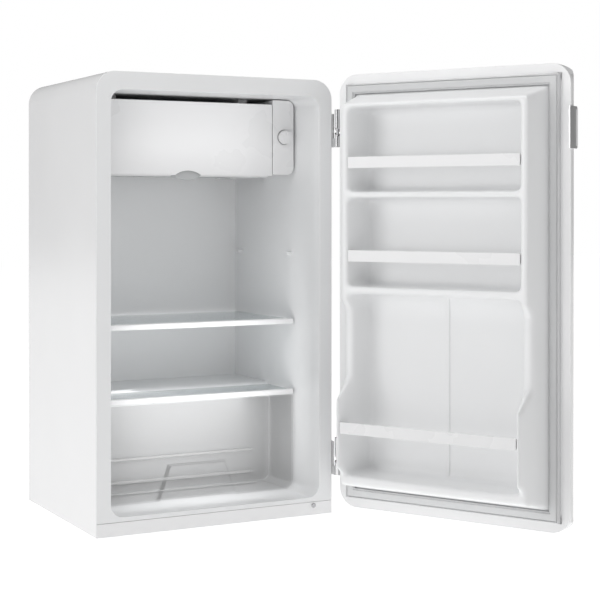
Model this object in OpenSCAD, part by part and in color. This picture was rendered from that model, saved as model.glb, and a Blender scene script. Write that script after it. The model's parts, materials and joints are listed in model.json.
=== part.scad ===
// Compact retro refrigerator with its door open: steel cabinet, moulded liner, freezer box,
// glass shelves, crisper, refrigeration unit, and a door on two rising cam hinges.
// Millimetres, +Z up. X is the width, +Y the back. The origin is on the floor under the
// middle of the cabinet's footprint.

/* [Cabinet] */
// Width across the outside of the cabinet
body_w = 475; // [440:1:570]
// Depth of the cabinet from its front flange to its back
body_d = 395; // [393:1:475]
// Height of the cabinet above its feet
body_h = 829; // [780:1:1000]
// Radius of the two upper corners, seen from the front
corner_r = 37; // [20:1:45]
// Thickness of the steel sheet
sheet_t = 1; // [0.6:0.1:1.5]
// Height of the kick strip
kick_h = 25; // [18:1:26]
// Height of the feet
foot_h = 8; // [6:1:30]

/* [Interior] */
// Width of the front flange round the door opening
flange_w = 27.5; // [25:0.5:34]
// Height of the liner's floor above the bottom of the cabinet
floor_z = 33; // [30:1:45]
// Depth of foam and sheet over the ceiling
roof_t = 32; // [28:1:45]
// Corner radius of the door opening
opening_r = 24; // [12:1:30]
// Thickness of the moulded liner
liner_t = 2; // [1.5:0.1:2.5]
// Depth of the interior
interior_d = 362; // [340:1:365]
// How much narrower each side of the interior is at the back
wall_draft = 7; // [4:0.5:9]
// Distance from the flange to the front of the compressor step
step_y = 207; // [200:1:215]
// Height of the compressor step above the bottom of the cabinet
step_z = 232; // [225:1:236]
// Thickness of the foam over the compressor step
step_foam = 36; // [28:1:40]

/* [Shelves and crisper] */
// Setback of the shelves, the flap and the crisper from the flange
front_y = 95; // [94:1:98]
// Height of the top of the upper shelf
upper_shelf_z = 368; // [300:1:470]
// Height of the top of the crisper's cover
lower_shelf_z = 229.5; // [225:0.5:236]
// Height of the spare shelf position
spare_shelf_z = 503; // [480:1:560]
// Thickness of the shelf glass
glass_t = 4; // [3:0.5:5]
// Height of the shelf's front trim
trim_h = 10.5; // [9:0.5:14]
// Wall thickness of the crisper
crisper_t = 2.5; // [2:0.1:3]
// How far the supports stand out of the side walls
lug_out = 11; // [9:0.5:13]

/* [Freezer box] */
// Gap between the ceiling and the top of the flap
flap_drop = 11; // [8:0.5:16]
// Height of the flap
flap_h = 139; // [110:1:139]
// Thickness of the flap
flap_t = 3; // [2.5:0.5:4]
// Width of the finger notch in the flap's lower edge
notch_w = 54; // [40:1:70]
// Height of the finger notch
notch_h = 8.6; // [6:0.1:12]
// Width of the thermostat housing, which fills the space between flap and wall
housing_w = 45.5; // [40:0.5:56]
// Radius of the thermostat knob
knob_r = 13.5; // [11:0.5:16]

/* [Door] */
// Angle that the door stands open at
door_angle = 118.5; // [0:0.5:125]
// How far the cam hinges lift the door between closed and door_angle
door_rise = 8; // [6:0.5:8]
// Gap between the cabinet's flange and the door's steel edge
door_gap = 11; // [10:0.5:13]
// Thickness of the door's steel pan
door_t = 42; // [40:1:50]
// Radius of the door's front edges
edge_r = 38; // [20:1:39]
// How far the closed door stops above the bottom of the cabinet
door_z = 9; // [5:0.5:11]
// Distance from the door's outer edge to the gasket
gasket_inset = 19; // [17:0.5:20]
// Width of the gasket
gasket_w = 19; // [16:0.5:20]
// Depth of the upper door bins from the flange's plane
bin_y = 62; // [50:1:70]
// Depth of the bottle bin from the flange's plane
bottle_bin_y = 88; // [75:1:90]
// Depth of the cheeks between the bins
waist_y = 46; // [36:1:50]
// Height of the guard bars
bar_h = 21; // [16:1:26]

/* [Hinges and handle] */
// Radius of the hinge barrels
barrel_r = 5.6; // [5:0.1:6.5]
// Radius of the hinge pins
pin_r = 2.5; // [2:0.1:3]
// Height of each hinge
hinge_h = 64; // [50:1:75]
// Distance from the cabinet's top down to the upper hinge
upper_hinge_drop = 64; // [45:1:120]
// Height of the foot of the lower hinge
lower_hinge_z = 74; // [60:1:120]
// Height of the handle plate
handle_h = 74; // [60:1:110]
// Distance from the door's top down to the handle plate
handle_drop = 76; // [60:1:200]

/* [Hidden] */
$fn = 48;

// clearances
part_gap = 0.5;    // between pieces that slide or swing past each other
pin_gap = 0.05;    // between a pin and its bore

// cabinet
inside_x = body_w / 2 - sheet_t;
opening_x = body_w / 2 - flange_w;
ceiling_z = body_h - roof_t;
flange_step = 0.5;
return_w = 15;
compartment_y = step_y + liner_t + step_foam;
compartment_z = step_z - liner_t - step_foam;
kick_d = 12;
kick_gap = 0.6;
step_r = 14;
foot_r = 16;
stud_r = 4;
stud_h = 14;
foot_x = body_w / 2 - 42;
front_foot_y = 52;
rear_foot_y = body_d - 30;
screw_head_r = 4;
screw_head_h = 2;
kick_screw_x = body_w / 2 - 40;

// shelves
shelf_half = opening_x - wall_draft - 2.5;
trim_half = opening_x - wall_draft + 0.5;
trim_d = 12;
trim_lip = 2.5;
glass_top = 1.2;
lug_h = 6;
lug_l = 14;
upper_shelf_back = interior_d - 19;
lower_shelf_back = step_y - 6;
crisper_half = opening_x - 0.5 * wall_draft - 4.5;
crisper_z = floor_z + 1.5;
crisper_top = lower_shelf_z - trim_h - 2;
crisper_back = step_y - 3.5;
pull_foot = 158;
pull_top = 112;
pull_h = 64;
pull_d = 8;

// freezer box
housing_d = 135;
housing_x1 = wall_x(front_y + housing_d) - 1.5;
housing_x0 = housing_x1 - housing_w;
flap_x0 = -(opening_x - wall_draft);
flap_x1 = housing_x0 - 1.5;
flap_top = ceiling_z - flap_drop;
flap_z = flap_top - flap_h;
notch_x = (flap_x0 + flap_x1) / 2 + 3;
notch_r = (pow(notch_w / 2, 2) + pow(notch_h, 2)) / (2 * notch_h);
flap_pin_r = 2;
flap_ear_r = 5.5;
flap_axis_y = front_y + 9;
flap_axis_z = flap_top - 7;
frame_y = front_y + 18;
frame_t = 4;
evap_y = frame_y + frame_t;
evap_back = interior_d - 17;
evap_x0 = flap_x0 + 3.5;
evap_x1 = flap_x1 - 3.5;
tray_h = 13;
tray_z = flap_z + 1;
evap_z = tray_z + tray_h + 2;
tray_t = 2;
housing_z = flap_z + 3;
housing_top = ceiling_z - 2;
housing_r = 14;
knob_x = (housing_x0 + housing_x1) / 2 + 2;
knob_z = housing_z + 73;
knob_d = 9;
shaft_r = 3;

// door, in the closed position
door_x = body_w / 2 - 0.5;
door_top = body_h + 1;
door_in_y = -door_gap;
door_out_y = -door_gap - door_t;
hem_t = 2;
hem_w = gasket_inset - 2;
gasket_y = -0.4;
magnet_w = 9;
magnet_t = 4;
tub_inset = gasket_inset + gasket_w + 0.5;
tub_slope = 0.14;
bin_slope = 0.15;
bin_half = 165;
bin_back = -5;
shelf_1 = [door_top - 234.5, door_top - 223];
shelf_2 = [door_top - 411, door_top - 398];
bin_floor = door_z + 75;
bin_ceiling = door_top - 68;
bar_t = 3.5;
bar_tab = 14;

// hinges
hinge_x = body_w / 2 + barrel_r;
hinge_y = -door_gap - 1.7;
cam_h = 0.95 * door_rise / (door_angle > 0 ? door_angle * PI / 180 : 1);
cam_z = 24.5;
upper_hinge_z = body_h - upper_hinge_drop - hinge_h;
leaf_t = 2.5;
leaf_d = 34;
leaf_front = 4;
handle_t = 2.5;
handle_d = 32;
handle_roll_r = 2.6;
handle_z = door_top - handle_drop - handle_h;

// 2D outlines drawn in one plane and pushed along the third axis
module along_x(x0, x1) {
    translate([x0, 0, 0]) rotate([90, 0, 90]) linear_extrude(x1 - x0) children();
}
module along_y(y0, y1) {
    translate([0, y1, 0]) rotate([90, 0, 0]) linear_extrude(y1 - y0) children();
}
module along_z(z0, z1) {
    translate([0, 0, z0]) linear_extrude(z1 - z0) children();
}

module box(low, high) {
    translate(low) cube(high - low);
}

module rod_x(x0, x1, y, z, r) {
    translate([x0, y, z]) rotate([0, 90, 0]) cylinder(h = x1 - x0, r = r);
}
module rod_y(x, y0, y1, z, r) {
    translate([x, y0, z]) rotate([-90, 0, 0]) cylinder(h = y1 - y0, r = r);
}
module rod_z(x, y, z0, z1, r) {
    translate([x, y, z0]) cylinder(h = z1 - z0, r = r);
}

// a rectangle from low to high with each corner rounded by its own radius,
// in the order lower left, lower right, upper right, upper left
module soft_rect(low, high, r) {
    difference() {
        translate(low) square(high - low);
        corner_cut([low[0], low[1]], [1, 1], r[0]);
        corner_cut([high[0], low[1]], [-1, 1], r[1]);
        corner_cut([high[0], high[1]], [-1, -1], r[2]);
        corner_cut([low[0], high[1]], [1, -1], r[3]);
    }
}

// the sliver outside a rounded corner at point, whose inside lies in direction way
module corner_cut(point, way, r) {
    if (r > 0)
        difference() {
            translate(point + [min(way[0], 0) * r, min(way[1], 0) * r] - 0 * way) square(r);
            translate(point + r * way) circle(r);
        }
}

// the fridge's own frame stands on the floor, with its origin under its middle
module placed() {
    translate([0, -body_d / 2, foot_h]) children();
}

// the door's pieces are drawn closed, then swung open and lifted by the cam hinges
module on_door() {
    placed()
        translate([hinge_x, hinge_y, door_rise]) rotate([0, 0, door_angle])
            translate([-hinge_x, -hinge_y, 0]) children();
}

// ---- cabinet ----

module body_outline(g) {
    soft_rect([-body_w / 2 + g, 0], [body_w / 2 - g, body_h - g], [0, 0, corner_r - g, corner_r - g]);
}

module opening_outline(g) {
    r = opening_r + g;
    soft_rect([-opening_x - g, floor_z - g], [opening_x + g, ceiling_z + g], [r, r, r, r]);
}

// half the width of the interior at depth y
function wall_x(y) = opening_x - wall_draft * y / interior_d;

// the space inside the liner, grown by g, from depth y0 to the back
module cavity(g, y0) {
    intersection() {
        along_z(0, body_h)
            polygon([
                [-wall_x(y0) - g, y0], [wall_x(y0) + g, y0],
                [wall_x(interior_d) + g, interior_d + g], [-wall_x(interior_d) - g, interior_d + g]
            ]);
        along_y(y0, interior_d + g) opening_outline(g);
        along_x(-body_w, body_w) difference() {
            translate([y0, 0]) square([interior_d + g - y0, body_h]);
            soft_rect([step_y + g, -1], [body_d, step_z - g], [0, 0, 0, step_r - g]);
        }
    }
}

// the steel's inward return behind the flange, as a flat ring
module front_return() {
    difference() {
        intersection() {
            body_outline(sheet_t / 2);
            translate([-body_w, kick_h + sheet_t]) square([2 * body_w, body_h]);
        }
        translate([-body_w / 2 + return_w, -1]) square([body_w - 2 * return_w, body_h - return_w + 1]);
    }
}

module cabinet_shell() {
    color("white") placed() {
        along_y(liner_t, body_d) difference() {
            body_outline(0);
            body_outline(sheet_t);
        }
        along_y(liner_t, liner_t + sheet_t) front_return();
        along_y(body_d - 2 * sheet_t, body_d - sheet_t) difference() {
            intersection() {
                body_outline(sheet_t / 2);
                translate([-body_w, compartment_z + sheet_t]) square([2 * body_w, body_h]);
            }
            soft_rect([-inside_x + 14, 0], [inside_x - 14, body_h - 15], [0, 0, 20, 20]);
        }
    }
}

// the moulded liner, whose flange covers the whole front face above the kick strip
module inner_liner() {
    color("whitesmoke") placed() {
        difference() {
            union() {
                cavity(liner_t, 0);
                along_y(0, liner_t) intersection() {
                    body_outline(flange_step);
                    translate([-body_w, kick_h]) square([2 * body_w, body_h]);
                }
            }
            cavity(0, 0);
            along_y(-1, 0.5) opening_outline(0);
        }
        for (side = [-1, 1])
            for (z = [upper_shelf_z, spare_shelf_z])
                for (y = [front_y + 15, upper_shelf_back - lug_l - 3])
                    shelf_lug(side, y, z - glass_top - glass_t);
        for (side = [-1, 1])
            for (y = [front_y + 15, lower_shelf_back - lug_l - 3])
                shelf_lug(side, y, lower_shelf_z - glass_top - glass_t);
    }
}

// one support on a side wall, with its top at z
module shelf_lug(side, y, z) {
    outer = wall_x(y + lug_l) + liner_t / 2;
    inner = wall_x(y + lug_l) - lug_out;
    x0 = side > 0 ? inner : -outer;
    box([x0, y, z - lug_h], [x0 + outer - inner, y + lug_l, z - 0.1]);
}

module cabinet_foam() {
    color("khaki") placed() difference() {
        along_y(liner_t, body_d - 2 * sheet_t) body_outline(sheet_t);
        along_y(0, liner_t + sheet_t) front_return();
        cavity(liner_t, 0);
        box([-body_w, compartment_y - sheet_t, -1], [body_w, body_d, compartment_z + sheet_t]);
        box([-body_w, 0, -1], [body_w, kick_d, kick_h]);
        box([-body_w, 0, -1], [body_w, body_d, sheet_t]);
        for (side = [-1, 1]) rod_z(side * foot_x, front_foot_y, -1, stud_h + 2, stud_r + part_gap);
        rod_y(kick_screw_x, 0, kick_d + 12, kick_h - 7, 2);
        condenser_pocket();
    }
}

module back_panel() {
    color("gainsboro") placed() difference() {
        along_y(body_d - sheet_t, body_d) intersection() {
            body_outline(sheet_t);
            translate([-body_w, compartment_z + sheet_t]) square([2 * body_w, body_h]);
        }
        back_screw_places() rod_y(0, -2 * sheet_t, sheet_t, 0, 1.8);
    }
}

// the six places where the back panel is screwed to the cabinet's return
module back_screw_places() {
    for (side = [-1, 1])
        for (z = [compartment_z + 12, (compartment_z + body_h) / 2, body_h - corner_r - 12])
            translate([side * (inside_x - 7), body_d, z]) children();
}

module back_panel_screws() {
    color("silver") placed() back_screw_places() {
        rod_y(0, 0, screw_head_h, 0, screw_head_r);
        rod_y(0, -sheet_t, 0, 0, 1.8);
    }
}

module compartment_panel() {
    color("gainsboro") placed() difference() {
        along_x(-inside_x, inside_x) {
            translate([compartment_y - sheet_t, sheet_t])
                square([sheet_t, compartment_z]);
            translate([compartment_y - sheet_t, compartment_z])
                square([body_d - compartment_y - sheet_t, sheet_t]);
        }
        rod_z(-inside_x + 2.5, condenser_in_y, compartment_z - 1, compartment_z + 2, condenser_r + 0.6);
        rod_z(-inside_x + 2.5, condenser_out_y, compartment_z - 1, compartment_z + 2, condenser_r + 0.6);
    }
}

module bottom_panel() {
    color("gainsboro") placed() difference() {
        box([-inside_x, kick_d, 0], [inside_x, compartment_y, sheet_t]);
        for (side = [-1, 1]) rod_z(side * foot_x, front_foot_y, -1, 3, stud_r + part_gap);
    }
}

module base_plate() {
    color("gainsboro") placed() difference() {
        union() {
            box([-inside_x, compartment_y, 0], [inside_x, body_d, 1.5]);
            box([-inside_x, body_d - 1.5, 0], [inside_x, body_d, 18]);
        }
        for (side = [-1, 1]) rod_z(side * foot_x, rear_foot_y, -1, 3, stud_r + part_gap);
        translate([gland_x, body_d, gland_z]) rod_y(0, -3, 1, 0, gland_neck_r);
    }
}

module kick_strip() {
    color("white") placed() difference() {
        union() {
            box([-inside_x, 0, 0], [inside_x, kick_d, kick_h - kick_gap]);
            box([-body_w / 2 + flange_step, 0, 0], [body_w / 2 - flange_step, liner_t, kick_h - kick_gap]);
        }
        box([-inside_x + 2, 2, 2], [inside_x - 2, kick_d + 1, kick_h - 2 - kick_gap]);
        rod_y(kick_screw_x, -1, 3, kick_h - 7, 2);
    }
}

module kick_strip_screw() {
    color("silver") placed() {
        rod_y(kick_screw_x, -screw_head_h, 0, kick_h - 7, screw_head_r + 0.5);
        rod_y(kick_screw_x, 0, kick_d + 8, kick_h - 7, 2);
    }
}

module foot(y) {
    for (side = [-1, 1]) {
        rod_z(side * foot_x, y, -foot_h, 0, foot_r);
        rod_z(side * foot_x, y, 0, stud_h, stud_r);
    }
}

module front_feet() {
    color("dimgray") placed() foot(front_foot_y);
}

module rear_feet() {
    color("dimgray") placed() foot(rear_foot_y);
}

// ---- refrigeration unit ----

compressor_x = 55;
compressor_y = (compartment_y + body_d) / 2;
compressor_z = 18;
compressor_r = 58;
compressor_h = 122;
mount_x = 74;
mount_y = 48;
pipe_r = 3;
condenser_r = 2.4;
condenser_in_y = body_d - 50;
condenser_out_y = body_d - 27;
condenser_pitch = 50;
condenser_runs = 8;
condenser_bend = condenser_pitch / 2;
condenser_z = compartment_z + 66;
drier_r = 9;
drier_x = -150;
drier_l = 90;
gland_x = -60;
gland_z = 11;
gland_r = 6.5;
gland_neck_r = 5;
cord_r = 3.6;

// the drawn steel can, on a foot plate
module compressor() {
    color("dimgray") placed() translate([compressor_x, compressor_y, compressor_z]) {
        rotate_extrude() {
            square([compressor_r - 22, compressor_h]);
            translate([0, 22]) square([compressor_r, compressor_h - 52]);
            translate([compressor_r - 22, 22]) circle(22);
            translate([compressor_r - 30, compressor_h - 30]) intersection() {
                circle(30);
                square(31);
            }
        }
        difference() {
            box([-mount_x - 12, -mount_y - 12, -4], [mount_x + 12, mount_y + 12, 2]);
            mount_places() rod_z(0, 0, -5, 3, 4);
        }
    }
}

module mount_places() {
    for (sx = [-1, 1])
        for (sy = [-1, 1])
            translate([sx * mount_x, sy * mount_y, 0]) children();
}

module compressor_mounts() {
    color("black") placed() translate([compressor_x, compressor_y, 0]) mount_places() {
        rod_z(0, 0, 1.5, compressor_z - 4, 9);
        rod_z(0, 0, compressor_z - 4, compressor_z + 2, 4);
        rod_z(0, 0, compressor_z + 2, compressor_z + 5, 8);
    }
}

module relay_cover() {
    color("black") placed() difference() {
        box([compressor_x + 40, compressor_y - 22, 48], [compressor_x + 92, compressor_y + 22, 104]);
        rod_z(compressor_x, compressor_y, 40, 120, compressor_r + 0.05);
    }
}

// two straight tubes joined by a quarter bend: out along local +X, then up local +Y
module elbow(run, rise, bend, r) {
    rotate([0, 90, 0]) cylinder(h = run - bend, r = r);
    translate([run - bend, bend, 0]) rotate([0, 0, -90])
        rotate_extrude(angle = 90) translate([bend, 0]) circle(r);
    translate([run, bend, 0]) rotate([-90, 0, 0]) cylinder(h = rise - bend, r = r);
}

module discharge_pipe() {
    color("peru") placed()
        translate([compressor_x - compressor_r, compressor_y + 12, 70])
            rotate([90, 0, 180]) elbow(62, compartment_z - 70, 14, pipe_r);
}

module suction_pipe() {
    color("peru") placed()
        translate([compressor_x - compressor_r, compressor_y - 14, 96])
            rotate([90, 0, 180]) elbow(34, compartment_z - 96, 14, pipe_r + 1);
}

module filter_drier() {
    color("peru") placed() translate([drier_x, compressor_y + 20, compartment_z - drier_l - 48])
        rotate_extrude() polygon([
            [0, -22], [2, -22], [2, 0], [drier_r, 12], [drier_r, drier_l - 12],
            [2, drier_l], [2, drier_l + 48], [0, drier_l + 48]
        ]);
}

module condenser_pocket() {
    box([-inside_x - 1, 40, compartment_z + sheet_t],
        [-inside_x + 6, condenser_out_y + 8, condenser_z + condenser_runs * condenser_pitch]);
}

// a flat serpentine against the left side sheet, with both ends led down to the unit
module condenser_tube() {
    front = 75;
    back = condenser_in_y - 20;
    last = condenser_runs - 1;
    color("peru") placed() translate([-inside_x + 2.5, 0, 0]) rotate([90, 0, 90]) {
        for (n = [0:last])
            translate([front, condenser_z + n * condenser_pitch, 0])
                rotate([0, 90, 0]) cylinder(h = back - front, r = condenser_r);
        for (n = [0:last - 1])
            translate([n % 2 == 0 ? front : back, condenser_z + (n + 0.5) * condenser_pitch, 0])
                rotate([0, 0, n % 2 == 0 ? 90 : -90])
                    rotate_extrude(angle = 180) translate([condenser_bend, 0]) circle(condenser_r);
        condenser_drop(back, condenser_in_y, condenser_z);
        condenser_drop(back, condenser_out_y, condenser_z + last * condenser_pitch);
    }
}

// the tube from the end of a run at height z, back to depth y and down to the unit
module condenser_drop(from, y, z) {
    bend = 10;
    translate([from, z, 0]) mirror([0, 1, 0])
        elbow(y - from, z - compartment_z + 12, bend, condenser_r);
}

// the strain relief where the mains lead would leave
module cord_gland() {
    color("black") placed() translate([gland_x, body_d, gland_z]) difference() {
        union() {
            rod_y(0, 0, 3, 0, gland_r);
            rod_y(0, -1.5, 0, 0, gland_neck_r);
            rod_y(0, -5, -1.5, 0, gland_r);
        }
        rod_y(0, -6, 4, 0, cord_r);
    }
}

// ---- freezer box and thermostat ----

module evaporator() {
    top = flap_top;
    color("lightsteelblue") placed() difference() {
        along_y(evap_y, evap_back)
            soft_rect([evap_x0, evap_z], [evap_x1, top], [10, 10, 10, 10]);
        along_y(evap_y - 1, evap_back - 1.5)
            soft_rect([evap_x0 + 1.5, evap_z + 1.5], [evap_x1 - 1.5, top - 1.5], [8.5, 8.5, 8.5, 8.5]);
    }
}

module evaporator_hangers() {
    color("white") placed()
        for (x = [evap_x0 + 30, evap_x1 - 50])
            for (y = [evap_y + 20, evap_back - 40])
                box([x, y, flap_top], [x + 20, y + 20, ceiling_z]);
}

// the moulded front frame of the freezer box, with the tray's two runners behind it
module freezer_frame() {
    x0 = flap_x0;
    x1 = flap_x1 - 0.5;
    color("white") placed() {
        difference() {
            along_y(frame_y, frame_y + frame_t) difference() {
                soft_rect([x0, flap_z - 2.5], [x1, flap_top + 2], [3, 3, 3, 3]);
                soft_rect([x0 + 5.5, flap_z + 0.5], [x1 - 5.5, flap_top - 4], [2, 2, 8, 8]);
            }
            rod_y(notch_x, frame_y - 1, frame_y + frame_t + 1, flap_z + notch_h - notch_r, notch_r);
        }
        for (x = [x0, x1 - 4.5]) difference() {
            union() {
                box([x, flap_axis_y, flap_axis_z - flap_ear_r], [x + 4.5, frame_y + 1, flap_axis_z + flap_ear_r]);
                rod_x(x, x + 4.5, flap_axis_y, flap_axis_z, flap_ear_r);
            }
            rod_x(x - 1, x + 5.5, flap_axis_y, flap_axis_z, flap_pin_r + pin_gap);
        }
        for (side = [-1, 1]) {
            rail = side < 0 ? x0 : x1 - 2.5;
            lip = side < 0 ? x0 : x1 - 13;
            box([rail, evap_y - 1, flap_z - 2.5], [rail + 2.5, evap_back - 10, evap_z - 1]);
            box([lip, evap_y - 1, flap_z - 2.5], [lip + 13, evap_back - 10, tray_z - 0.2]);
        }
    }
}

module freezer_flap() {
    pin_end = flap_x0 + 0.2;
    color("white") placed() {
        difference() {
            along_y(front_y, front_y + flap_t)
                soft_rect([flap_x0, flap_z], [flap_x1, flap_top], [2, 2, 2, 2]);
            rod_y(notch_x, front_y - 1, front_y + flap_t + 1, flap_z + notch_h - notch_r, notch_r);
        }
        for (side = [-1, 1]) {
            lug = side < 0 ? flap_x0 + 6 : flap_x1 - 10.5;
            box([lug, front_y + flap_t - 0.5, flap_axis_z - 4.5], [lug + 4.5, flap_axis_y, flap_axis_z + 4.5]);
            rod_x(lug, lug + 4.5, flap_axis_y, flap_axis_z, 4.5);
        }
        rod_x(pin_end, flap_x0 + 7, flap_axis_y, flap_axis_z, flap_pin_r);
        rod_x(flap_x1 - 7, flap_x1 - 0.7, flap_axis_y, flap_axis_z, flap_pin_r);
    }
}

// the meltwater tray under the freezer box, with a finger lip behind the flap's notch
module drip_tray() {
    x0 = flap_x0 + 6;
    x1 = flap_x1 - 6.5;
    y0 = front_y + flap_t + 2.5;
    lip_z = flap_z - 9.6;
    color("gainsboro") placed() {
        difference() {
            box([x0, y0, tray_z], [x1, evap_back - 5, tray_z + tray_h]);
            box([x0 + tray_t, y0 + tray_t, tray_z + tray_t],
                [x1 - tray_t, evap_back - 5 - tray_t, tray_z + tray_h + 1]);
        }
        along_y(y0, y0 + tray_t) intersection() {
            translate([notch_x, lip_z + notch_r]) circle(notch_r);
            translate([notch_x - notch_w, lip_z]) square([2 * notch_w, tray_z + 1 - lip_z]);
        }
    }
}

module thermostat_housing() {
    t = 2;
    color("white") placed() difference() {
        along_y(front_y, front_y + housing_d)
            soft_rect([housing_x0, housing_z], [housing_x1, housing_top], [2, housing_r, housing_r, 2]);
        along_y(front_y + t, front_y + housing_d + 1)
            soft_rect([housing_x0 + t, housing_z + t], [housing_x1 - t, housing_top - t],
                [1, housing_r - t, housing_r - t, 1]);
        rod_y(knob_x, front_y - 1, front_y + t + 1, knob_z, shaft_r + 1);
        rod_x(housing_x0 - 1, housing_x0 + t + 1, sensor_y, knob_z, 1.6);
    }
}

sensor_y = front_y + 95;

module thermostat() {
    y0 = front_y + 2;
    color("silver") placed() difference() {
        union() {
            box([knob_x - 15, y0 + 3, knob_z - 20], [knob_x + 15, y0 + 31, knob_z + 20]);
            rod_y(knob_x, y0, y0 + 4, knob_z, 6);
        }
        rod_y(knob_x, y0 - 1, y0 + 20, knob_z, shaft_r + pin_gap);
    }
}

module thermostat_shaft() {
    color("silver") placed() rod_y(knob_x, front_y - knob_d + 2, front_y + 20, knob_z, shaft_r);
}

module thermostat_knob() {
    y0 = front_y - knob_d;
    color("white") placed() difference() {
        union() {
            rod_y(knob_x, y0 + 2, front_y - part_gap, knob_z, knob_r);
            rod_y(knob_x, y0, y0 + 3, knob_z, knob_r - 1.5);
        }
        rod_y(knob_x, y0 + 2, front_y, knob_z, shaft_r);
        box([knob_x - 0.7, y0 - 1, knob_z + 4], [knob_x + 0.7, y0 + 0.8, knob_z + knob_r]);
    }
}

// the capillary that senses the evaporator's temperature
module sensor_tube() {
    y0 = front_y + 33;
    color("peru") placed()
        translate([knob_x - 8, y0, knob_z]) rotate([0, 0, 90])
            elbow(sensor_y - y0, knob_x - 8 - evap_x1, 8, 1.2);
}

// ---- shelves and crisper ----

module shelf_glass(top, back) {
    box([-shelf_half, front_y + trim_lip, top - glass_top - glass_t], [shelf_half, back, top - glass_top]);
}

module shelf_trim(top) {
    difference() {
        along_x(-trim_half, trim_half)
            soft_rect([front_y, top - trim_h], [front_y + trim_d, top], [3, 1, 0, 3]);
        box([-trim_half - 1, front_y + trim_lip, top - glass_top - glass_t],
            [trim_half + 1, front_y + trim_d + 1, top - glass_top]);
    }
}

module upper_shelf_glass() {
    color("lightblue", 0.4) placed() shelf_glass(upper_shelf_z, upper_shelf_back);
}
module upper_shelf_trim() {
    color("white") placed() shelf_trim(upper_shelf_z);
}
module lower_shelf_glass() {
    color("lightblue", 0.4) placed() shelf_glass(lower_shelf_z, lower_shelf_back);
}
module lower_shelf_trim() {
    color("white") placed() shelf_trim(lower_shelf_z);
}

// the finger pull's outline, grown by g
module pull_outline(g) {
    polygon([
        [-pull_foot / 2 - g, crisper_z - 1 + min(g, 1)], [pull_foot / 2 + g, crisper_z - 1 + min(g, 1)],
        [pull_top / 2 + g, crisper_z + pull_h + g], [-pull_top / 2 - g, crisper_z + pull_h + g]
    ]);
}

module crisper_drawer() {
    y0 = front_y - 1;
    t = crisper_t;
    color("lightcyan", 0.4) placed() difference() {
        union() {
            difference() {
                along_y(y0, crisper_back)
                    soft_rect([-crisper_half, crisper_z], [crisper_half, crisper_top], [18, 18, 0, 0]);
                along_y(y0 + t, crisper_back - t)
                    soft_rect([-crisper_half + t, crisper_z + t], [crisper_half - t, crisper_top + 1],
                        [18 - t, 18 - t, 0, 0]);
            }
            along_y(y0 + t / 2, y0 + pull_d + t) pull_outline(t);
        }
        along_y(y0 - 1, y0 + pull_d) pull_outline(0);
    }
}

// ---- hinges ----

// a plane tilted across the barrel at height z, keeping what is below it
module below_cam(z) {
    translate([0, 0, z]) rotate([atan(cam_h / barrel_r), 0, 0])
        translate([-30, -30, -90]) cube([60, 60, 90]);
}
module above_cam(z) {
    translate([0, 0, z]) rotate([atan(cam_h / barrel_r), 0, 0])
        translate([-30, -30, 0]) cube([60, 60, 90]);
}

module hinge_screw_places(z, x, y) {
    for (n = [0, 1])
        translate([x, y, z + 14 + n * (hinge_h - 28)]) children();
}

// the leaf on the cabinet's side, with the lower half of the barrel
module cabinet_leaf(z) {
    placed() difference() {
        union() {
            along_x(body_w / 2, body_w / 2 + leaf_t)
                soft_rect([-leaf_front, z], [leaf_d - leaf_front, z + hinge_h], [0, 3, 3, 0]);
            box([body_w / 2 + 0.3, hinge_y, z], [body_w / 2 + leaf_t, -leaf_front + 1, z + cam_z - cam_h - 4]);
            translate([hinge_x, hinge_y, 0]) intersection() {
                rod_z(0, 0, z, z + hinge_h, barrel_r);
                below_cam(z + cam_z);
            }
        }
        rod_z(hinge_x, hinge_y, z - 1, z + hinge_h, pin_r + pin_gap);
        hinge_screw_places(z, body_w / 2, 16) rod_x(-1, leaf_t + 1, 0, 0, 2);
    }
}

module upper_cabinet_leaf() {
    color("silver") cabinet_leaf(upper_hinge_z);
}
module lower_cabinet_leaf() {
    color("silver") cabinet_leaf(lower_hinge_z);
}

module cabinet_leaf_screws() {
    color("silver") placed()
        for (z = [upper_hinge_z, lower_hinge_z])
            hinge_screw_places(z, body_w / 2, 16) {
                rod_x(leaf_t, leaf_t + 1.6, 0, 0, screw_head_r);
                rod_x(0, leaf_t, 0, 0, 2);
            }
}

// the pin is fixed under the cap of the door's half and lifts with the door
module hinge_pin(z) {
    placed() rod_z(hinge_x, hinge_y, z + 0.5 + door_rise, z + hinge_h - 2 + door_rise, pin_r);
}

module upper_hinge_pin() {
    color("silver") hinge_pin(upper_hinge_z);
}
module lower_hinge_pin() {
    color("silver") hinge_pin(lower_hinge_z);
}

// the leaf that hugs the door's rounded side, with the upper half of the barrel
module door_leaf(z) {
    cx = door_x - edge_r;
    cy = door_out_y + edge_r;
    on_door() difference() {
        union() {
            difference() {
                along_z(z, z + hinge_h) intersection() {
                    difference() {
                        union() {
                            translate([cx, cy]) circle(edge_r + leaf_t, $fn = 96);
                            translate([cx, cy]) square([edge_r + leaf_t, hinge_y - cy]);
                        }
                        translate([cx, cy]) circle(edge_r, $fn = 96);
                        translate([cx, cy - 1]) square([edge_r, 20]);
                    }
                    polygon([
                        [cx, cy], [cx + 60, cy - 36], [cx + 60, hinge_y], [cx, hinge_y]
                    ]);
                }
                rod_z(hinge_x, hinge_y, z - 1, z + cam_z + cam_h + 0.5, barrel_r + 0.6);
            }
            translate([hinge_x, hinge_y, 0]) intersection() {
                rod_z(0, 0, z, z + hinge_h, barrel_r);
                above_cam(z + cam_z + part_gap);
            }
        }
        rod_z(hinge_x, hinge_y, z - 1, z + hinge_h - 2, pin_r + pin_gap);
        door_screw_places(z) rod_x(-1, leaf_t + 1, 0, 0, 2);
    }
}

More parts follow.
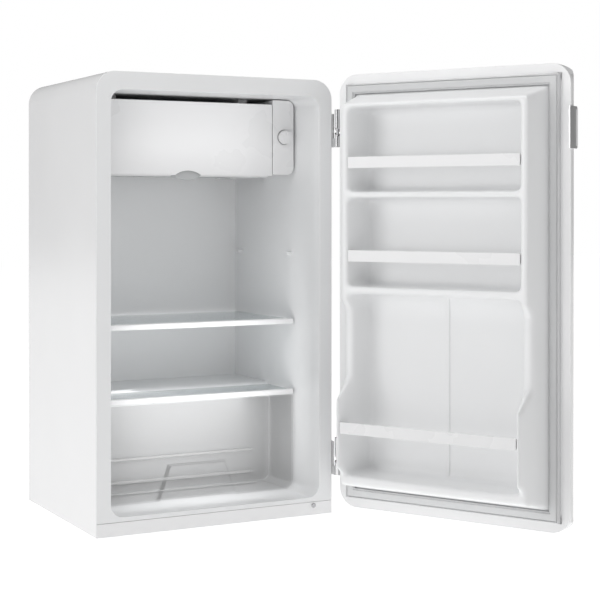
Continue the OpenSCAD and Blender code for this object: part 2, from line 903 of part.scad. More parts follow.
// two screws through the curved leaf, square to the door's rounded side
module door_screw_places(z) {
    for (n = [0, 1])
        translate([door_x - edge_r, door_out_y + edge_r, z + 14 + n * (hinge_h - 28)])
            rotate([0, 0, -18]) translate([edge_r, 0, 0]) children();
}

module upper_door_leaf() {
    color("silver") door_leaf(upper_hinge_z);
}
module lower_door_leaf() {
    color("silver") door_leaf(lower_hinge_z);
}

module door_leaf_screws() {
    color("silver") on_door()
        for (z = [upper_hinge_z, lower_hinge_z])
            door_screw_places(z) {
                rod_x(leaf_t, leaf_t + 1.6, 0, 0, screw_head_r);
                rod_x(0.1, leaf_t, 0, 0, 2);
            }
}

// ---- door ----

module door_outline(g) {
    r = max(corner_r - g, 1);
    soft_rect([-door_x + g, door_z + g], [door_x - g, door_top - g], [r, r, r, r]);
}

// the pillow-shaped pan, inset by g, as far back as depth y1
module door_form(g, y1) {
    intersection() {
        along_y(door_out_y + g, y1) door_outline(g);
        along_z(door_z, door_top)
            soft_rect([-door_x + g, door_out_y + g], [door_x - g, y1], [edge_r - g, edge_r - g, 0, 0]);
        along_x(-door_x, door_x)
            soft_rect([door_out_y + g, door_z + g], [y1, door_top - g], [edge_r - g, 0, 0, edge_r - g]);
    }
}

module door_shell() {
    color("white") on_door() {
        difference() {
            door_form(0, door_in_y);
            door_form(sheet_t, door_in_y + 1);
            handle_screw_places() rod_x(-1, 2, 0, 0, 2);
        }
        along_y(door_in_y - hem_t, door_in_y) difference() {
            door_outline(sheet_t / 2);
            door_outline(hem_w);
        }
    }
}

// the raised tub that carries the bins, inset by g, from depth y0 forwards
module tub_form(g, y0) {
    low = door_z + tub_inset + g;
    high = door_top - tub_inset - g;
    root = door_x - tub_inset - g;
    deep = bottle_bin_y - g;
    mid = bin_y - g;
    waist = waist_y - g;
    bottle_low = bin_floor + 18;
    bottle_high = bottle_low + 124;
    waist_low = bottle_high + 36;
    waist_high = shelf_2[0] - 31;
    intersection() {
        along_z(door_z, door_top) polygon([
            [-root, y0], [root, y0], [root, door_in_y],
            [root - tub_slope * (deep - door_in_y), deep], [-root + tub_slope * (deep - door_in_y), deep],
            [-root, door_in_y]
        ]);
        along_x(-door_x, door_x) polygon([
            [y0, low], [door_in_y, low], [mid + 6, low + 19], [mid + 6, bin_floor + 2 * g],
            [deep, bottle_low + g], [deep, bottle_high - g], [waist, waist_low - g],
            [waist, waist_high + g], [mid, waist_high + 18 + g], [mid, high - 22],
            [door_in_y, high], [y0, high]
        ]);
    }
}

// the three bins' hollows, grown by g
module bin_hollows(g) {
    spans = [
        [bin_floor, shelf_2[0]], [shelf_2[1], shelf_1[0]], [shelf_1[1], bin_ceiling]
    ];
    deep = bottle_bin_y + 20;
    for (s = spans)
        along_z(s[0] - g, s[1] + g) polygon([
            [-bin_half - g, bin_back - g], [bin_half + g, bin_back - g],
            [bin_half + g + bin_slope * (deep - bin_back), deep],
            [-bin_half - g - bin_slope * (deep - bin_back), deep]
        ]);
}

// the foam inside the tub's cheeks and shelves
module tub_core() {
    difference() {
        tub_form(liner_t, door_in_y - hem_t);
        bin_hollows(liner_t);
    }
}

module door_liner() {
    color("whitesmoke") on_door() {
        difference() {
            union() {
                along_y(door_in_y - hem_t, door_in_y) door_outline(hem_w);
                tub_form(0, door_in_y - hem_t);
            }
            bin_hollows(0);
            difference() {
                tub_form(liner_t, door_in_y - hem_t - 1);
                bin_hollows(liner_t);
            }
        }
        box([-2, bin_back - 0.5, bin_floor], [2, bin_back + 1.8, shelf_2[0]]);
    }
}

module door_foam() {
    color("khaki") on_door() difference() {
        union() {
            door_form(sheet_t, door_in_y - hem_t);
            tub_core();
        }
        handle_screw_places() rod_x(0, 3.4, 0, 0, 3);
    }
}

module gasket_ring(a, b) {
    difference() {
        soft_rect([-door_x + a, door_z + a], [door_x - a, door_top - a], [6, 6, 6, 6]);
        soft_rect([-door_x + b, door_z + b], [door_x - b, door_top - b], [2, 2, 2, 2]);
    }
}

module door_gasket() {
    a = gasket_inset + (gasket_w - magnet_w) / 2;
    color("lightgray") on_door() difference() {
        along_y(door_in_y, gasket_y) gasket_ring(gasket_inset, gasket_inset + gasket_w);
        along_y(gasket_y - 1.5 - magnet_t, gasket_y - 1.5) gasket_ring(a, a + magnet_w);
    }
}

module gasket_magnet() {
    a = gasket_inset + (gasket_w - magnet_w) / 2;
    color("dimgray") on_door()
        along_y(gasket_y - 1.5 - magnet_t, gasket_y - 1.5) gasket_ring(a, a + magnet_w);
}

// a guard bar across a bin, with its foot at height z and its front face at depth y
module guard_bar(z, y) {
    half = bin_half + bin_slope * (y - bar_t - bin_back) - 0.3;
    tab = bin_half + bin_slope * (y - bar_tab - bin_back) - 0.3;
    color("white") on_door() {
        box([-half, y - bar_t, z], [half, y, z + bar_h]);
        for (side = [-1, 1])
            box([side > 0 ? tab - 8 : -tab, y - bar_tab, z + 2], [side > 0 ? tab : -tab + 8, y, z + bar_h - 2]);
    }
}

module upper_guard_bar() {
    guard_bar(shelf_1[1] + 43, bin_y - 1);
}
module middle_guard_bar() {
    guard_bar(shelf_2[1] + 46, bin_y - 1);
}
module lower_guard_bar() {
    guard_bar(bin_floor + 79, bottle_bin_y - 4);
}

// the handle's plate stands off the door's rounded edge, so fingers go behind it
module handle_plate() {
    x1 = -door_x - 0.3;
    y1 = -1.5;
    y0 = y1 - handle_d;
    color("silver") on_door() difference() {
        union() {
            along_x(x1 - handle_t, x1)
                soft_rect([y0, handle_z], [y1, handle_z + handle_h], [5, 1, 1, 5]);
            rod_z(x1 - handle_t / 2, y0 + handle_roll_r, handle_z + 5, handle_z + handle_h - 5, handle_roll_r);
        }
        handle_screw_places() rod_x(-handle_t + 0.5, 1, 0, 0, 2);
    }
}

// the two places on the flat of the door's free side where the plate is fixed from within
module handle_screw_places() {
    for (n = [-1, 1])
        translate([-door_x, door_in_y - 6, handle_z + handle_h / 2 + n * handle_h / 4]) children();
}

module handle_screws() {
    color("silver") on_door() handle_screw_places() {
        rod_x(-handle_t + 0.5, 1.4, 0, 0, 2);
        rod_x(1.4, 3.4, 0, 0, 3);
    }
}

cabinet_shell();
cabinet_foam();
inner_liner();
back_panel();
back_panel_screws();
compartment_panel();
bottom_panel();
base_plate();
kick_strip();
kick_strip_screw();
front_feet();
rear_feet();
compressor();
compressor_mounts();
relay_cover();
discharge_pipe();
suction_pipe();
filter_drier();
condenser_tube();
cord_gland();
evaporator();
evaporator_hangers();
freezer_frame();
freezer_flap();
drip_tray();
thermostat_housing();
thermostat();
thermostat_shaft();
thermostat_knob();
sensor_tube();
upper_shelf_glass();
upper_shelf_trim();
lower_shelf_glass();
lower_shelf_trim();
crisper_drawer();
upper_cabinet_leaf();
lower_cabinet_leaf();
cabinet_leaf_screws();
upper_hinge_pin();
lower_hinge_pin();
upper_door_leaf();
lower_door_leaf();
door_leaf_screws();
door_shell();
door_foam();
door_liner();
door_gasket();
gasket_magnet();
upper_guard_bar();
middle_guard_bar();
lower_guard_bar();
handle_plate();
handle_screws();
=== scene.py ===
import json
import math

import bmesh
import bpy
from mathutils import Matrix, Vector, noise


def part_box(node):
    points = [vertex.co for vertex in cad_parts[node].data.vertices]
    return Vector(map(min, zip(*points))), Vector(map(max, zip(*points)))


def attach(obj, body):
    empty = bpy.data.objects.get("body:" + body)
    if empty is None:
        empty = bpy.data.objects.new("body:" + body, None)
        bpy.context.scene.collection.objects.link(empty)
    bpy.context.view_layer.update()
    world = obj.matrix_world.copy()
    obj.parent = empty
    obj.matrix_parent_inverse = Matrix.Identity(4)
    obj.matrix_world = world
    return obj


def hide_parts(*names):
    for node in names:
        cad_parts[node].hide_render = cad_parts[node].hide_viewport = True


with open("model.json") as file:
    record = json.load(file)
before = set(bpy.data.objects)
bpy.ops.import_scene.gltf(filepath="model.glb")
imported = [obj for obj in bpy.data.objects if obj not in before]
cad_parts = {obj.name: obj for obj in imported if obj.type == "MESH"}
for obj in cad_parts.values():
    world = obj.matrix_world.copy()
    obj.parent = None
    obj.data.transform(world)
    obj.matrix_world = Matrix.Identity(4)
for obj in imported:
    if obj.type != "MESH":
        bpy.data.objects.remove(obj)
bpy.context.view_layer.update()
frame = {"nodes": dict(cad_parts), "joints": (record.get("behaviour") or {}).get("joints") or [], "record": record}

# Steel shell: one sheet of steel wrapped over the top and down both sides, powder coated white.
# The kick strip under the door is folded from the same stock. The coat is glossy, with a faint orange
# peel, as on any painted appliance.


def coating(name, colour, roughness, metal=0.0, grain=900.0, depth=0.02, streak=(1, 1, 1), tint=0.02):
    """A shader with a fine surface grain and a slow change of gloss and tone over the piece."""
    material = bpy.data.materials.new(name)
    material.use_nodes = True
    nodes, links = material.node_tree.nodes, material.node_tree.links
    shader = nodes["Principled BSDF"]
    shader.inputs["Metallic"].default_value = metal
    place = nodes.new("ShaderNodeTexCoord")
    stretch = nodes.new("ShaderNodeMapping")
    stretch.inputs["Scale"].default_value = streak
    links.new(place.outputs["Object"], stretch.inputs["Vector"])
    fine = nodes.new("ShaderNodeTexNoise")
    fine.inputs["Scale"].default_value = grain
    fine.inputs["Detail"].default_value = 3
    slow = nodes.new("ShaderNodeTexNoise")
    slow.inputs["Scale"].default_value = 6
    slow.inputs["Detail"].default_value = 4
    links.new(stretch.outputs["Vector"], fine.inputs["Vector"])
    links.new(place.outputs["Object"], slow.inputs["Vector"])
    gloss = nodes.new("ShaderNodeMapRange")
    gloss.inputs["To Min"].default_value = roughness * 0.85
    gloss.inputs["To Max"].default_value = roughness * 1.15
    links.new(slow.outputs["Fac"], gloss.inputs["Value"])
    links.new(gloss.outputs["Result"], shader.inputs["Roughness"])
    tone = nodes.new("ShaderNodeValToRGB")
    low, high = tone.color_ramp.elements
    low.color = (*[c * (1 - tint) for c in colour], 1)
    high.color = (*[min(c * (1 + tint), 1) for c in colour], 1)
    links.new(slow.outputs["Fac"], tone.inputs["Fac"])
    links.new(tone.outputs["Color"], shader.inputs["Base Color"])
    bump = nodes.new("ShaderNodeBump")
    bump.inputs["Strength"].default_value = depth
    bump.inputs["Distance"].default_value = 0.001
    links.new(fine.outputs["Fac"], bump.inputs["Height"])
    links.new(bump.outputs["Normal"], shader.inputs["Normal"])
    return material


def shade(piece, angle):
    """Smooth shading that keeps the real creases."""
    for face in piece.data.polygons:
        face.use_smooth = True
    piece.data.set_sharp_from_angle(angle=math.radians(angle))


def stand_for(mesh, node, material, angle=35):
    """Makes a mesh the piece that is shown for a node, on that node's body."""
    body = next(b for b, names in frame["record"]["behaviour"]["bodies"].items() if node in names)
    mesh.materials.append(material)
    piece = bpy.data.objects.new(mesh.name, mesh)
    bpy.context.collection.objects.link(piece)
    shade(piece, angle)
    even = piece.modifiers.new("even_shading", "WEIGHTED_NORMAL")
    even.keep_sharp = True
    even.weight = 80
    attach(piece, body)
    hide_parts(node)
    return piece


def mould(shape, name, node, material, angle=35):
    """Turns a finished bmesh into the piece that stands for a node."""
    mesh = bpy.data.meshes.new(name)
    shape.to_mesh(mesh)
    shape.free()
    return stand_for(mesh, node, material, angle)


def merged(node):
    """A bmesh copy of a node with its triangles joined up into flat faces."""
    shape = bmesh.new()
    shape.from_mesh(frame["nodes"][node].data)
    bmesh.ops.remove_doubles(shape, verts=shape.verts, dist=0.00001)
    bmesh.ops.dissolve_limit(shape, angle_limit=math.radians(1), verts=shape.verts, edges=shape.edges)
    return shape


def round_over(shape, radius, segments=3, angle=25, chosen=None):
    """Rounds the creased edges of a bmesh, or the ones that pass a test on their middle point."""
    creased = [
        e for e in shape.edges
        if e.is_manifold and e.calc_face_angle(0) > math.radians(angle)
        and (chosen is None or chosen((e.verts[0].co + e.verts[1].co) / 2))
    ]
    bmesh.ops.bevel(
        shape, geom=creased, offset=radius, offset_type="OFFSET", segments=segments,
        profile=0.5, affect="EDGES", clamp_overlap=True, material=-1,
    )


def soften(node, material, radius, segments=3, angle=25):
    """A copy of a node with all its edges a little rounded, which stands for that node."""
    shape = merged(node)
    round_over(shape, radius, segments, angle)
    return mould(shape, node + "_soft", node, material)


white_paint = coating("white_powder_coat", (0.86, 0.86, 0.865), 0.22, depth=0.03)
soften("cabinet_shell", white_paint, 0.0004, 2)
soften("kick_strip", white_paint, 0.0008)

# Inner liner: one sheet of white polystyrene drawn over a former, so all its corners are soft.
# Its flange folds out round the door opening, and its walls carry the ledges and lugs for the shelves.
moulding = coating("white_polystyrene", (0.84, 0.845, 0.85), 0.3, grain=500, depth=0.03)
flare_r = 0.0065
flange_min = 0.012
liner_wall = 0.002
front_slack = 0.0005
back_corner_r = 0.02
corner_x_low = 0.195
corner_x_high = 0.2045
back_slack = 0.001
liner_low, liner_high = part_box("inner_liner")


def at_mouth(middle):
    """True for an edge of the door opening, in the front plane and inside the flange."""
    inside = abs(middle.x) < liner_high.x - flange_min and middle.z < liner_high.z - flange_min
    return inside and abs(middle.y - liner_low.y) < front_slack


def back_corner(middle):
    """True for the two upright corners at the back of the interior."""
    at_wall = abs(middle.y - (liner_high.y - liner_wall)) < back_slack
    return at_wall and corner_x_low < abs(middle.x) < corner_x_high


liner = merged("inner_liner")
round_over(liner, flare_r, 6, 60, at_mouth)
round_over(liner, back_corner_r, 8, 60, back_corner)
mould(liner, "inner_liner_moulding", "inner_liner", moulding, 30)

# Hidden body of the cabinet: foam blown between the shell and the liner, with folded galvanised
# panels that close the back and the bottom, and the plate that the refrigeration unit stands on.


def dress(node, material):
    """Gives a carried-over node its finish."""
    piece = frame["nodes"][node]
    piece.data.materials.clear()
    piece.data.materials.append(material)


foam = coating("blown_foam", (0.75, 0.66, 0.42), 0.9, grain=260, depth=0.6)
galvanised = coating(
    "galvanised_sheet", (0.55, 0.56, 0.57), 0.38, metal=0.9, grain=60, depth=0.06, tint=0.12
)
dress("cabinet_foam", foam)
for panel in ("back_panel", "compartment_panel", "bottom_panel", "base_plate", "thermostat"):
    soften(panel, galvanised, 0.0003, 2)

# Screws and pins: zinc-plated steel behind and inside, where nobody looks, and one nickel-plated
# screw with a domed head that holds the kick strip at the front.
plated = coating("zinc_plate", (0.62, 0.62, 0.63), 0.28, metal=1.0, grain=700, depth=0.05)
for piece in ("back_panel_screws", "handle_screws", "upper_hinge_pin",
              "lower_hinge_pin", "thermostat_shaft"):
    soften(piece, plated, 0.0003, 2)
nickel = coating("nickel_plate", (0.42, 0.42, 0.43), 0.25, metal=1.0, grain=700, depth=0.03)
soften("kick_strip_screw", nickel, 0.0012, 4)

# Refrigeration unit: a black enamelled can on four rubber mounts, brazed into a circuit of copper tube.
# The feet, the relay cover and the gland are black plastic.
black_paint = coating("black_enamel", (0.02, 0.02, 0.021), 0.35, depth=0.1)
rubber = coating("black_rubber", (0.02, 0.02, 0.02), 0.75, grain=400, depth=0.2)
black_plastic = coating("black_plastic", (0.03, 0.03, 0.03), 0.5, grain=800, depth=0.2)
copper = coating("drawn_copper", (0.75, 0.36, 0.22), 0.25, metal=1.0, grain=300, depth=0.05, tint=0.1)
soften("compressor", black_paint, 0.0005, 2)
dress("compressor_mounts", rubber)
soften("relay_cover", black_plastic, 0.0015)
for pipe in ("discharge_pipe", "suction_pipe", "filter_drier", "condenser_tube", "sensor_tube"):
    dress(pipe, copper)
for piece in ("cord_gland", "front_feet", "rear_feet"):
    soften(piece, black_plastic, 0.0006)

# Freezer box: a rolled aluminium evaporator hung from the liner's roof behind a white moulded flap.
# A pale grey tray lies under it, and the thermostat sits beside it in a white housing.
aluminium = coating(
    "mill_aluminium", (0.7, 0.71, 0.72), 0.35, metal=1.0, grain=200, depth=0.06, streak=(1, 12, 12)
)
white_plastic = coating("white_moulding", (0.8, 0.8, 0.805), 0.28, grain=600, depth=0.03, tint=0.006)
grey_plastic = coating("pale_grey_moulding", (0.45, 0.46, 0.465), 0.4, grain=600, depth=0.04)
soften("evaporator", aluminium, 0.0004, 2)
for piece, radius in (
    ("evaporator_hangers", 0.001), ("freezer_frame", 0.0008),
    ("freezer_flap", 0.0009), ("thermostat_knob", 0.0012),
):
    soften(piece, white_plastic, radius)
soften("drip_tray", grey_plastic, 0.0006)


def workpiece(shape, name):
    """Makes an object of a finished bmesh, for modifiers to work on."""
    mesh = bpy.data.meshes.new(name)
    shape.to_mesh(mesh)
    shape.free()
    piece = bpy.data.objects.new(name, mesh)
    bpy.context.collection.objects.link(piece)
    return piece


def worked(piece):
    """The mesh that a workpiece's modifiers leave. The workpiece itself is thrown away."""
    graph = bpy.context.evaluated_depsgraph_get()
    mesh = bpy.data.meshes.new_from_object(piece.evaluated_get(graph))
    bpy.data.objects.remove(piece)
    return mesh


# the housing has a round well that the knob sits in, cut with a little play round it
knob_play = 0.0012
well_depth = 0.003
housing_edge_r = 0.002
knob_low, knob_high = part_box("thermostat_knob")
well_r = (knob_high.x - knob_low.x) / 2 + knob_play
housing_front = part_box("thermostat_housing")[0].y
cutter = bmesh.new()
bmesh.ops.create_cone(
    cutter, cap_ends=True, segments=64, radius1=well_r, radius2=well_r, depth=2 * well_depth,
    matrix=Matrix.Translation((
        (knob_low.x + knob_high.x) / 2, housing_front, (knob_low.z + knob_high.z) / 2
    )) @ Matrix.Rotation(math.radians(90), 4, "X"),
)
cutter_piece = workpiece(cutter, "well_cutter")
housing_block = merged("thermostat_housing")
round_over(housing_block, housing_edge_r)
blank = workpiece(housing_block, "housing_blank")
well = blank.modifiers.new("well", "BOOLEAN")
well.operation = "DIFFERENCE"
well.object = cutter_piece
housing = worked(blank)
housing.name = "thermostat_housing_shell"
bpy.data.objects.remove(cutter_piece)
stand_for(housing, "thermostat_housing", white_plastic)

# Shelves: two plates of tempered glass that lie on ledges moulded in the liner's walls. A white
# extruded trim is pushed on to the front edge of each.


def clear(name, colour, roughness, face_on, rim_gain, cloudy):
    """Clear sheet or moulding: how solid it looks square on, and how much more so edge on."""
    material = bpy.data.materials.new(name)
    material.use_nodes = True
    nodes, links = material.node_tree.nodes, material.node_tree.links
    shader = nodes["Principled BSDF"]
    place = nodes.new("ShaderNodeTexCoord")
    cloud = nodes.new("ShaderNodeTexNoise")
    cloud.inputs["Scale"].default_value = 14
    links.new(place.outputs["Object"], cloud.inputs["Vector"])
    tone = nodes.new("ShaderNodeValToRGB")
    low, high = tone.color_ramp.elements
    low.color = (*cloudy, 1)
    high.color = (*colour, 1)
    links.new(cloud.outputs["Fac"], tone.inputs["Fac"])
    links.new(tone.outputs["Color"], shader.inputs["Base Color"])
    gloss = nodes.new("ShaderNodeMapRange")
    gloss.inputs["To Min"].default_value = roughness * 0.7
    gloss.inputs["To Max"].default_value = roughness * 1.3
    links.new(cloud.outputs["Fac"], gloss.inputs["Value"])
    links.new(gloss.outputs["Result"], shader.inputs["Roughness"])
    rim = nodes.new("ShaderNodeLayerWeight")
    rim.inputs["Blend"].default_value = 0.25
    body = nodes.new("ShaderNodeMapRange")
    body.inputs["To Min"].default_value = face_on
    body.inputs["To Max"].default_value = face_on + rim_gain
    links.new(rim.outputs["Facing"], body.inputs["Value"])
    links.new(body.outputs["Result"], shader.inputs["Alpha"])
    return material


shelf_glass = clear("tempered_glass", (0.56, 0.62, 0.64), 0.04, 0.2, 0.6, (0.5, 0.57, 0.6))
for shelf in ("upper_shelf", "lower_shelf"):
    soften(shelf + "_glass", shelf_glass, 0.0006, 2)
    soften(shelf + "_trim", white_plastic, 0.0008)

# Crisper: one clear polystyrene moulding that slides on the floor of the liner, with a finger pull
# cut down in its front. Low beads stiffen its floor and its back wall. Their whiter, more solid
# polystyrene is a painted highlight, which makes them show as bright lines.
crisper_clear = clear("clear_polystyrene", (0.92, 0.925, 0.93), 0.08, 0.05, 0.18, (0.88, 0.885, 0.89))
# the beads' material is a whiter, more solid copy of the clear polystyrene, a painted highlight that makes them
# show as bright lines
bead_painted_highlight = clear("polystyrene_bead_painted_highlight", (0.99, 0.99, 0.99), 0.3, 0.55, 0.1, (0.97, 0.97, 0.97))
drawer_low, drawer_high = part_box("crisper_drawer")
drawer_wall = 0.0025
drawer_floor_zone = 0.03
drawer_corner_r = 0.038
corner_slack = 0.0006
drawer_edge_r = 0.0009


def drawer_back(inset):
    """A test for the upright corners at the back of the drawer's outside or its inside."""
    def chosen(middle):
        deep = abs(middle.y - (drawer_high.y - inset)) < corner_slack
        beside = abs(abs(middle.x) - (drawer_high.x - inset)) < corner_slack
        return deep and beside and middle.z > drawer_low.z + drawer_floor_zone
    return chosen


drawer = merged("crisper_drawer")
round_over(drawer, drawer_corner_r, 8, 60, drawer_back(0))
round_over(drawer, drawer_corner_r - drawer_wall, 8, 60, drawer_back(drawer_wall))
round_over(drawer, drawer_edge_r, 2)

# each bead's height over the floor, distance from the back wall, half depth and half height
beads = ((0.0, 0.02, 0.003, 0.0007), (0.018, 0.0, 0.0007, 0.003), (0.062, 0.0, 0.0007, 0.0024))
bead_length = 2 * (drawer_high.x - drawer_corner_r)
for height, reach, half_depth, half_height in beads:
    middle = Vector((0, drawer_high.y - drawer_wall - reach, drawer_low.z + drawer_wall + height))
    bead = bmesh.ops.create_cone(
        drawer, cap_ends=True, segments=24, radius1=1, radius2=1, depth=bead_length,
        matrix=Matrix.Translation(middle) @ Matrix.Diagonal((1, half_depth, half_height, 1))
        @ Matrix.Rotation(math.radians(90), 4, "Y"),
    )
    # the bead faces take the painted highlight material
    for face in {f for v in bead["verts"] for f in v.link_faces}:
        face.material_index = 1
crisper = mould(drawer, "crisper_drawer_moulding", "crisper_drawer", crisper_clear)
crisper.data.materials.append(bead_painted_highlight)

# Hinges: pressed steel leaves, chrome plated, screwed to the cabinet and the door. Each barrel is
# in two halves, whose slanted faces lift the door as it opens.
chrome = coating("chrome_plate", (0.7, 0.7, 0.705), 0.12, metal=1.0, grain=300, depth=0.01)
for piece in ("upper_cabinet_leaf", "lower_cabinet_leaf", "upper_door_leaf", "lower_door_leaf",
              "cabinet_leaf_screws", "door_leaf_screws"):
    soften(piece, chrome, 0.0004, 2)

# Handle plate: a small folded plate with a satin chrome face, screwed to the edge of the door pan
# at the top, where a hand pulls the door open.
satin_chrome = coating("satin_chrome", (0.86, 0.86, 0.865), 0.32, metal=1.0, grain=500, depth=0.03)
soften("handle_plate", satin_chrome, 0.0005, 3)

# Door: a painted steel pan filled with foam, closed by a drawn polystyrene liner with three bins in it.
# The liner's sheet is even, so every corner of its bins is soft. A clip-in bar guards each bin.
soften("door_shell", white_paint, 0.0006, 2, angle=40)
hinge = next(j for j in frame["joints"] if j["name"] == "door_swing")
hinge_axis = Vector(hinge["pos_m"])
to_closed = (
    Matrix.Translation(hinge_axis)
    @ Matrix.Rotation(math.radians(hinge["range_deg"][0]), 4, "Z")
    @ Matrix.Translation(-hinge_axis)
)
to_open = to_closed.inverted()


def shut_box(node):
    """A door node's lowest and highest corners with the door swung shut."""
    places = [to_closed @ v.co for v in frame["nodes"][node].data.vertices]
    return tuple(Vector([pick(p[axis] for p in places) for axis in range(3)]) for pick in (min, max))


def drawn_over_former(name, nodes, grid, passes, cut_y):
    """One even sheet over the joined outside of some door nodes, eased at every corner."""
    block = bmesh.new()
    for node in nodes:
        block.from_mesh(frame["nodes"][node].data)
    bmesh.ops.remove_doubles(block, verts=block.verts, dist=0.00001)
    bmesh.ops.transform(block, matrix=to_closed, verts=block.verts)
    blank = workpiece(block, name + "_block")
    even = blank.modifiers.new("even", "REMESH")
    even.mode = "VOXEL"
    even.voxel_size = grid
    sheet = bmesh.new()
    sheet.from_mesh(worked(blank))
    if cut_y is not None:
        bmesh.ops.bisect_plane(
            sheet, geom=sheet.verts[:] + sheet.edges[:] + sheet.faces[:], dist=0.00001,
            plane_co=(0, cut_y, 0), plane_no=(0, 1, 0), clear_inner=True,
        )
    for _ in range(passes):
        bmesh.ops.smooth_vert(
            sheet, verts=[v for v in sheet.verts if not v.is_boundary], factor=0.5,
            use_axis_x=True, use_axis_y=True, use_axis_z=True,
        )
    return sheet


sheet_grid = 0.004
sheet_passes = 7
sheet_wall = 0.0018
over_rim = 0.0006
seal_low, seal_high = shut_box("door_gasket")
rim_y = seal_low.y
tub = drawn_over_former(
    "door_liner", ("door_liner", "door_foam"), sheet_grid, sheet_passes, rim_y + over_rim
)
bmesh.ops.solidify(tub, geom=tub.faces[:], thickness=sheet_wall)

# the flat flange that the seal sits on
flange_low, flange_high = shut_box("door_liner")
flange_wall = 0.002
flange_reach = 0.024
door_corners = ((0, 0), (1, 0), (1, 1), (0, 1))
inner_edge = []
outer_edge = []
for x, z in door_corners:
    corner = Vector((
        flange_high.x if x else flange_low.x, rim_y - flange_wall, flange_high.z if z else flange_low.z
    ))
    outer_edge.append(tub.verts.new(corner))
    corner.x += -flange_reach if x else flange_reach
    corner.z += -flange_reach if z else flange_reach
    inner_edge.append(tub.verts.new(corner))
flange = [
    tub.faces.new((outer_edge[i], inner_edge[i], inner_edge[i - 3], outer_edge[i - 3])) for i in range(4)
]
bmesh.ops.recalc_face_normals(tub, faces=flange)
raised = bmesh.ops.extrude_face_region(tub, geom=flange, use_keep_orig=True)
bmesh.ops.translate(
    tub, vec=(0, flange_wall, 0), verts=[v for v in raised["geom"] if isinstance(v, bmesh.types.BMVert)]
)

# the stiffening rib up the middle of the bottle bin
rib_w = 0.009
rib_h = 0.0024
rib_foot = 0.060
rib_top = 0.393
bin_back = 0.006
rib_middle = Vector((0, rim_y + bin_back, flange_low.z + (rib_foot + rib_top) / 2))
rib = bmesh.ops.create_cube(
    tub, size=1,
    matrix=Matrix.Translation(rib_middle) @ Matrix.Diagonal((rib_w, rib_h * 2, rib_top - rib_foot, 1)),
)
rib_edges = list(dict.fromkeys(e for v in rib["verts"] for e in v.link_edges))
bmesh.ops.bevel(
    tub, geom=rib_edges, offset=rib_h * 0.9, offset_type="OFFSET", segments=4,
    profile=0.5, affect="EDGES", clamp_overlap=True, material=-1,
)

bmesh.ops.transform(tub, matrix=to_open, verts=tub.verts)
mould(tub, "door_liner_moulding", "door_liner", moulding, 50)

# the foam behind it is eased in the same way, but less
core_grid = 0.006
core_passes = 5
core = drawn_over_former("door_foam", ("door_foam",), core_grid, core_passes, None)
bmesh.ops.transform(core, matrix=to_open, verts=core.verts)
mould(core, "door_foam_fill", "door_foam", foam, 50)

for bar in ("upper_guard_bar", "middle_guard_bar", "lower_guard_bar"):
    soften(bar, white_plastic, 0.001)

# Gasket: a soft grey vinyl extrusion, mitred and welded at the corners, that sits on the liner's flange.
# It holds a black magnet strip, and its lips close the gap to the cabinet.
seal = coating("grey_seal", (0.66, 0.665, 0.67), 0.5, grain=500, depth=0.05)
magnet = coating("magnet_strip", (0.05, 0.05, 0.05), 0.7)
# the section, as steps inward from the edge and out from the door, in mm
seal_section = (
    (0.0, 0.0), (0.0, 7.6), (0.4, 9.2), (1.2, 9.9), (2.0, 9.6), (2.4, 8.4), (2.9, 7.4), (3.5, 8.8),
    (4.6, 10.2), (10.0, 10.6), (15.0, 10.2), (16.0, 9.2), (16.3, 7.6), (17.4, 7.8), (18.6, 7.2),
    (18.8, 6.2), (17.2, 4.6), (16.8, 2.4), (18.6, 0.6), (18.6, 0.0),
)
ring = bmesh.new()
loops = []
for x, z in door_corners:
    corner = []
    for inward, proud in seal_section:
        corner.append(ring.verts.new((
            seal_high.x - inward / 1000 if x else seal_low.x + inward / 1000,
            seal_low.y + proud / 1000,
            seal_high.z - inward / 1000 if z else seal_low.z + inward / 1000,
        )))
    loops.append([ring.edges.new((corner[i - 1], corner[i])) for i in range(len(corner))])
for i in range(4):
    bmesh.ops.bridge_loops(ring, edges=loops[i - 1] + loops[i])
mitres = {e for loop in loops for e in loop}
runs = [e for e in ring.edges if e not in mitres]
bmesh.ops.subdivide_edges(ring, edges=runs, cuts=60, use_grid_fill=True)

# the inner lip along the top has taken on a slight wave
wave = 0.0007
waves_per_m = 22
lip_proud = 0.006
lip_from = 0.0170
lip_to = 0.0192
still_corner = 0.03
for v in ring.verts:
    at_lip = v.co.y > seal_low.y + lip_proud and lip_from < seal_high.z - v.co.z < lip_to
    if at_lip and seal_low.x + still_corner < v.co.x < seal_high.x - still_corner:
        v.co.z += wave * noise.noise(Vector((v.co.x * waves_per_m, 0, 3)))
bmesh.ops.recalc_face_normals(ring, faces=ring.faces)
bmesh.ops.transform(ring, matrix=to_open, verts=ring.verts)
mould(ring, "door_gasket_seal", "door_gasket", seal, 40)
dress("gasket_magnet", magnet)

# Studio: a pale floor and a white backdrop, wide soft lights overhead, at the left, in front and at the
# right, a small light in the mouth of each compartment, and the camera.
floor = bmesh.new()
bmesh.ops.create_grid(floor, x_segments=1, y_segments=1, size=12)
floor_piece = workpiece(floor, "floor")
pale_floor = coating("pale_floor", (0.35, 0.35, 0.35), 0.8, tint=0.0)
floor_shader = pale_floor.node_tree.nodes["Principled BSDF"]
floor_shader.inputs["Emission Color"].default_value = (1, 1, 1, 1)
floor_shader.inputs["Emission Strength"].default_value = 0.94
floor_piece.data.materials.append(pale_floor)

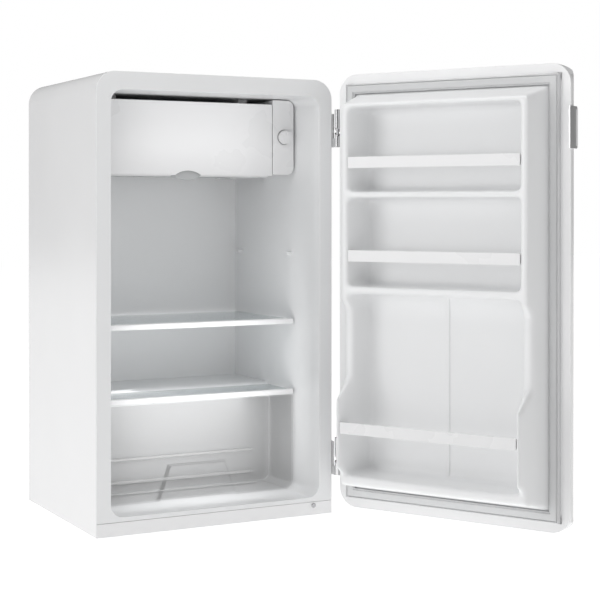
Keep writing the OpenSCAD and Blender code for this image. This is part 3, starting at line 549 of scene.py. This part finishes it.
world = bpy.data.worlds.new("studio")
bpy.context.scene.world = world
world.use_nodes = True
air = world.node_tree.nodes["Background"]
air.inputs["Color"].default_value = (1, 1, 1, 1)
air.inputs["Strength"].default_value = 0.15
backdrop = world.node_tree.nodes.new("ShaderNodeBackground")
backdrop.inputs["Color"].default_value = (1, 1, 1, 1)
backdrop.inputs["Strength"].default_value = 1.0
which = world.node_tree.nodes.new("ShaderNodeLightPath")
either = world.node_tree.nodes.new("ShaderNodeMixShader")
world.node_tree.links.new(which.outputs["Is Camera Ray"], either.inputs["Fac"])
world.node_tree.links.new(air.outputs["Background"], either.inputs[1])
world.node_tree.links.new(backdrop.outputs["Background"], either.inputs[2])
world.node_tree.links.new(either.outputs["Shader"], world.node_tree.nodes["World Output"].inputs["Surface"])


def soft_light(name, place, target, width, height, power):
    """A softbox that faces its target."""
    light = bpy.data.lights.new(name, "AREA")
    light.shape = "RECTANGLE"
    light.size = width
    light.size_y = height
    light.energy = power
    lamp = bpy.data.objects.new(name, light)
    lamp.location = place
    lamp.rotation_mode = "QUATERNION"
    lamp.rotation_quaternion = (Vector(target) - Vector(place)).to_track_quat("-Z", "Y")
    bpy.context.collection.objects.link(lamp)
    return lamp


def hide_light(lamp):
    """Keeps a lamp inside the object out of the picture and out of reflections."""
    lamp.visible_camera = False
    lamp.visible_glossy = False


soft_light("overhead", (-0.2, -0.3, 2.6), (0, -0.1, 0.4), 1.6, 1.6, 28)
soft_light("left", (-2.8, -0.25, 0.9), (0, 0, 0.45), 1.6, 1.6, 20)
soft_light("front_top", (-0.5, -1.3, 1.7), (0.05, -0.15, 0.8), 0.8, 0.5, 3.6)
soft_light("right", (1.9, -2.6, 1.2), (0.3, -0.3, 0.5), 1.2, 1.2, 6)

# each compartment's name, the lowest and highest point of its opening, and its light's power
mouth_y = -0.17
mouth_w = 0.28
for space, low, high, power in (
    ("freezer", 0.67, 0.78, 0.05), ("upper", 0.39, 0.54, 0.12),
    ("middle", 0.24, 0.36, 0.16), ("lower", 0.08, 0.22, 0.15),
):
    middle = (low + high) / 2
    hide_light(soft_light(
        space + "_mouth", (0, mouth_y, middle), (0, 0.2, middle - 0.02), mouth_w, high - low, power
    ))
hide_light(soft_light("into_drawer", (0.0, -0.02, 0.215), (-0.01, 0.06, 0.05), 0.3, 0.12, 0.07))

camera = bpy.data.cameras.new("camera")
camera.sensor_width = 36
camera.lens = 88.7
camera.shift_x = -0.025
camera.shift_y = -0.148
viewer = bpy.data.objects.new("camera", camera)
viewer.location = (-1.131, -2.6815, 0.593)
viewer.rotation_euler = (math.radians(89.87), 0, math.radians(-28.2))
bpy.context.collection.objects.link(viewer)
bpy.context.scene.camera = viewer
bpy.context.scene.view_settings.view_transform = "Standard"
